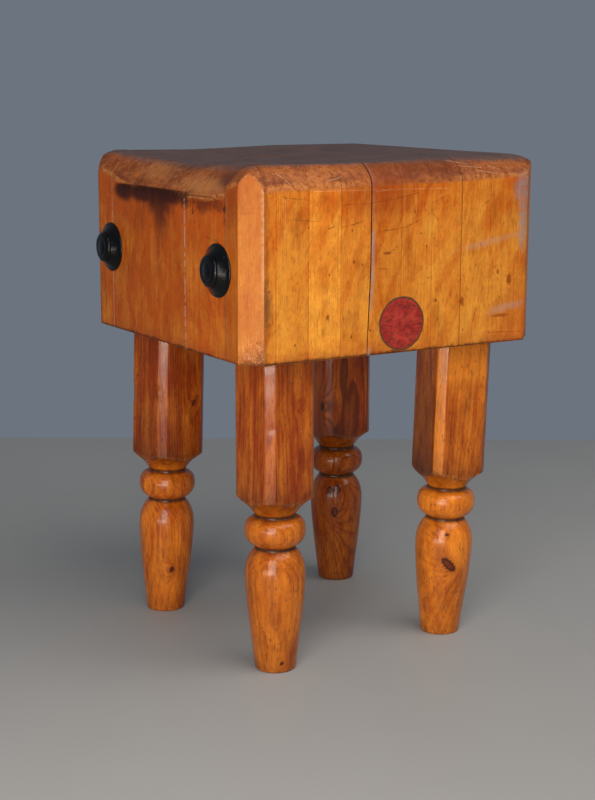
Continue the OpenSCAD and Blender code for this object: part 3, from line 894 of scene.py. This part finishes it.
def leg_knots(name, shaped, grain):
    """Bends the grain round the knots, and gives their halos and the knots themselves."""
    knot = np.zeros(len(shaped))
    halo = np.zeros(len(shaped))
    for height, bearing, size, slant in KNOTS[name]:
        b = math.radians(bearing)
        c, s = math.cos(b), math.sin(b)
        rel = shaped - [0, 0, height]
        facing = rel @ [c, s, 0] > 0
        beside = rel @ [-s, c, 0]
        far = np.hypot(beside - slant * rel[:, 2] * 0.6, rel[:, 2] * 0.66)
        grain[:, 0] += 22 * np.exp(-(far / (size * 2.2)) ** 2) * facing
        halo = np.maximum(halo, 0.6 * facing * np.exp(-(far / (size * 1.3)) ** 2))
        knot = np.maximum(knot, facing * (1 - smoothstep(size * 0.3, size * 0.8, far)))
    return halo, knot


def leg_dirt(name, shaped):
    """Dirt in the two grooves, and in the crack along the arris by the camera."""
    x, y, z = shaped.T
    dirt = np.exp(-((z - 224.5) / 3.9) ** 4) + np.exp(-((z - 282.5) / 3.9) ** 4)
    dirt = np.clip(dirt, 0, 1) * 0.9
    if name == "leg_front_left":
        crack = np.exp(-((x + LEG_SIDE / 2 - LEG_CUT) / 1.2) ** 2) * (y < -50)
        crack *= smoothstep(318, 322, z) * (0.3 + 0.5 * smoothstep(430, 330, z))
        dirt = np.maximum(dirt, crack)
    return dirt


def leg(name):
    sx, sy, turn, lean, tone, red, figured, turned_tone = LEG_SET[name]
    head = np.array([sx * (HALF_W - LEG_INSET[0]), sy * (HALF_D - LEG_INSET[1]), UNDER])
    points, faces = leg_mesh()

    # slight unevenness of hand turning, and knocks
    out = points * [1, 1, 0]
    out /= np.maximum(np.linalg.norm(out, axis=1, keepdims=True), 1)
    uneven = np.abs(0.25 * wobble(points + head, 60, 31))
    dents = np.clip(wobble(points + head, 26, 41) - 0.8, 0, 1) * 2
    shaped = points - out * (uneven + dents)[:, None]
    x, y, z = shaped.T

    r = np.random.default_rng(sum(ord(c) for c in name))
    grain = grain_from(shaped, r, 0.04, (30, 60))
    halo, knot = leg_knots(name, shaped, grain)

    # the head's flats: how far off them and how far above their ends a point is
    side = head_radius(np.arctan2(points[:, 1], points[:, 0]))
    on_flat = np.abs(np.linalg.norm(points[:, :2], axis=1) - side) < 1
    above = points[:, 2] - flat_end(side)
    over = np.maximum(above, 0)
    rubbed = np.exp(-((above - 1.5) / 2.5) ** 2) * on_flat
    turning = 1 - smoothstep(285, 318, z)
    # painted shade: darker towards the foot, in the cove under the head, and on the head's flats just above
    # the scallops
    shade = 1 - 0.14 * (1 - smoothstep(20, 190, z)) - 0.18 * smoothstep(284, 292, z) * (above < 0)
    shade -= (0.2 * np.exp(-over / 22) + 0.1 * smoothstep(130, 20, above)) * (above >= 0)
    # dirt and painted shade: patchy darkening just above the scallops, at the foot and under the block
    grime = 0.7 * np.exp(-over / 8) * (above > -1) * on_flat + 0.5 * smoothstep(34, 0, z)
    grime += 0.5 * smoothstep(UNDER - 14, UNDER - 1, z) + 0.25 * smoothstep(60, 5, above) * on_flat
    pale = np.zeros(len(shaped))
    if name == "leg_front_right":
        # painted shade: the front right leg's left flat darker
        shade -= 0.42 * (x < -54) * (above > 0) * smoothstep(600, 420, z)
        pale = smoothstep(478, 510, z) * (y < -50) * smoothstep(-44, -34, x)
        # the head's chamfer by the camera: paler wood, partly a painted highlight
        pale += 0.8 * smoothstep(310, 330, z) * (x < -40.5) * (y < -40.5)
    look = np.column_stack([tone * shade * (1 + (turned_tone - 1) * turning),
                            red - 0.3 * turning * min(1, turned_tone), leg_dirt(name, shaped)])

    # from the leg's own frame to the table's: the head stays put and the foot leans
    spin = Matrix.Rotation(math.radians(turn), 3, "Z")
    lean_x = Matrix.Rotation(math.atan2(lean[1], UNDER), 3, "X")
    lean_y = Matrix.Rotation(-math.atan2(lean[0], UNDER), 3, "Y")
    turned = np.array(lean_y @ lean_x @ spin)
    world = np.column_stack([x, y, z - UNDER]) @ turned.T + head
    world[:, 2] = np.clip(world[:, 2], 0, UNDER)
    world[z < 0.01, 2] = 0
    world[z > UNDER - 0.01, 2] = UNDER
    return piece(name + "_wood", world, faces, LEG, slot="leg_wood", replaces=name, smooth_angle=38,
                 grain=grain, look=look, knot=knot, halo=halo, rubbed=rubbed, pale=pale,
                 grime=np.clip(grime, 0, 0.9), figure=figured * (1 - 0.6 * turning))


# ---- iron caps and label
def lathe(node, outline, centre, way, rough):
    """An iron piece: a closed outline of (radius, distance out) turned about a rod at one end."""
    segments = 96
    a = np.arange(segments) / segments * TAU
    rows = [np.column_stack([np.full(segments, way * out), r * np.cos(a), way * r * np.sin(a)])
            for r, out in outline]
    points = np.vstack(rows) + centre
    points[:, 0] -= way * np.abs(rough * wobble(points, 14, 51))
    faces = []
    for k in range(len(outline)):
        ring = k * segments + np.arange(segments)
        faces += band(ring, (ring + segments) % len(points), flip=True)
    return piece(node + "_iron", points, faces, IRON, slot="black_iron", replaces=node, smooth_angle=40)


def washer_and_nut(end):
    lo, hi = box_mm("bell_washer_" + end)
    nut_lo, nut_hi = box_mm("cap_nut_" + end)
    way = -1 if end.startswith("left") else 1
    wood = hi[0] if way < 0 else lo[0]
    centre = np.array([wood, (lo[1] + hi[1]) / 2, (lo[2] + hi[2]) / 2])
    rim = (hi[1] - lo[1]) / 2
    high = hi[0] - lo[0]
    head = (nut_hi[1] - nut_lo[1]) / 2
    hub_end, crown = sorted(way * (x - wood) for x in (nut_lo[0], nut_hi[0]))
    hub, rod = 12, 8.1
    bell = [(hub + 0.6, 0), (rim - 0.5, 0), (rim, 0.4), (rim, 1.3)]
    cone = (rim - 5.5, 4.8)
    bell += bezier((rim, 1.3), (rim - 0.3, 3.2), (rim - 2.5, 3.6), cone, 8).tolist()
    bell += bezier(cone, (rim - 8.5, 7), (rim - 11.9, 10.2), (head + 2.6, high - 2.4), 8).tolist()
    bell += [(head + 1.5, high - 1.1), (head + 0.4, high), (hub + 0.6, high)]
    lathe("bell_washer_" + end, bell, centre, way, 0.25)
    dome = [(rod, hub_end), (hub - 0.8, hub_end), (hub, hub_end + 0.8), (hub, high)]
    dome += [(head - 0.8, high + 0.05), (head, high + 0.9)]
    dome += bezier(dome[-1], (head, high + 4.4), (head - 5, crown - 0.7), (head - 11, crown - 0.35),
                   16).tolist()
    dome += [(head - 11.7, crown - 0.8), (head - 12.7, crown - 0.8), (head - 13.4, crown - 0.3), (0.4, crown)]
    dome += [(0.4, high + 2.9), (rod, high + 2.4)]
    lathe("cap_nut_" + end, dome, centre, way, 0.2)


def label():
    lo, hi = box_mm("round_label")
    radius = (hi[2] - lo[2]) / 2
    middle = ((lo[0] + hi[0]) / 2, hi[1], (lo[2] + hi[2]) / 2)
    rings = [(0.5, 0.8), (8, 0.8), (16, 0.85), (24, 0.8), (32, 0.85), (38, 0.8), (42.6, 0.8), (43.4, 1),
             (radius - 1.2, 1), (radius - 0.3, 0.8), (radius, 0.3)]
    segments = 120
    a = np.arange(segments) / segments * TAU
    torn = 0.25 * np.sin(a * 7) + 0.2 * np.sin(a * 17 + 1) - 0.45
    points = []
    for r, t in rings:
        ragged = r + (torn if r > radius - 2 else 0)
        out = np.full(segments, -t * (hi[1] - lo[1]))
        points.append(np.column_stack([ragged * np.cos(a), out, ragged * np.sin(a)]))
    for rim in (points[-1], points[0]):
        points.append(rim * [1, 0, 1] + [0, 0.05, 0])
    ring = np.arange(segments)
    faces = []
    for k in range(len(points) - 1):
        faces += band(ring + k * segments, ring + (k + 1) * segments, flip=True)
    faces += [ring.tolist(), (ring + (len(points) - 1) * segments).tolist()[::-1]]
    return piece("round_label_paper", np.vstack(points) + middle, faces, label_material(middle),
                 slot="label_paper", replaces="round_label")


# ---- room, light and camera
def room():
    # the floor ends square to the camera, a little way behind the table
    across = np.linspace(-6000, 6000, 41)
    along = np.linspace(-6000, 1570, 31)
    gx, gy = (v.ravel() for v in np.meshgrid(across, along, indexing="ij"))
    c, s = math.cos(math.radians(VIEW_TURN)), math.sin(math.radians(VIEW_TURN))
    points = np.column_stack([c * gx + s * gy, c * gy - s * gx, np.full(gx.size, -0.5)])
    n = len(along)
    faces = [[i * n + j, (i + 1) * n + j, (i + 1) * n + j + 1, i * n + j + 1]
             for i in range(len(across) - 1) for j in range(n - 1)]
    floor = piece("floor", points, faces, floor_material(), body=None)
    world = bpy.data.worlds.new("studio")
    world.use_nodes = True
    world.node_tree.nodes["Background"].inputs[0].default_value = linear(108, 116, 127)
    scene.world = world


def place_facing(obj, target, azimuth, elevation, distance, roll=0):
    """Puts an object at a bearing (degrees, 0 in front, positive to the right) and aims it."""
    a, e = math.radians(azimuth), math.radians(elevation)
    back = Vector((math.sin(a) * math.cos(e), -math.cos(a) * math.cos(e), math.sin(e)))
    aim = (-back).to_track_quat("-Z", "Y").to_matrix() @ Matrix.Rotation(math.radians(roll), 3, "Z")
    obj.location = Vector(target) + back * distance
    obj.rotation_mode = "QUATERNION"
    obj.rotation_quaternion = aim.to_quaternion()
    scene.collection.objects.link(obj)


def lamp(name, azimuth, elevation, distance, size, power, colour, height=0.5):
    """A soft square light that looks at the table's axis at a height, in metres."""
    data = bpy.data.lights.new(name, "AREA")
    data.shape = "RECTANGLE"
    data.size, data.size_y = size
    data.energy = power
    data.color = colour
    place_facing(bpy.data.objects.new(name, data), (0, 0, height), azimuth, elevation, distance)


def camera():
    data = bpy.data.cameras.new("camera")
    data.sensor_width = 36
    data.lens = 71.4
    obj = bpy.data.objects.new("camera", data)
    place_facing(obj, (-0.0242, 0, 0.4346), -VIEW_TURN, 11.4, 3.0057, roll=0.27)
    scene.camera = obj


# ---- build
camera()
BLOCK = {"": block_material("block_maple"),
         "front": block_material("block_maple_front", front=True),
         "left": block_material("block_maple_left", left=True),
         "frontleft": block_material("block_maple_corner", front=True, left=True)}
LEG = leg_material()
IRON = iron_material()
STEEL = steel_material()
for node in STAVES:
    stave(node)
for node in LEGS:
    leg(node)
for end in ("left_front", "left_back", "right_front", "right_back"):
    washer_and_nut(end)
label()
for node in ("tie_rod_front", "tie_rod_back", "hanger_bolts", "threaded_inserts"):
    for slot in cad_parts[node].material_slots:
        slot.material = STEEL
room()
lamp("key", -42, 12, 2.6, (1.2, 2), 43, (1, 0.97, 0.93))
lamp("low", -56, 0, 2.6, (1.7, 0.46), 12, (1, 0.9, 0.78), height=0.27)
lamp("fill", 18, 55, 4, (4, 3), 98, (1, 0.97, 0.94))
scene.view_settings.view_transform = "Standard"
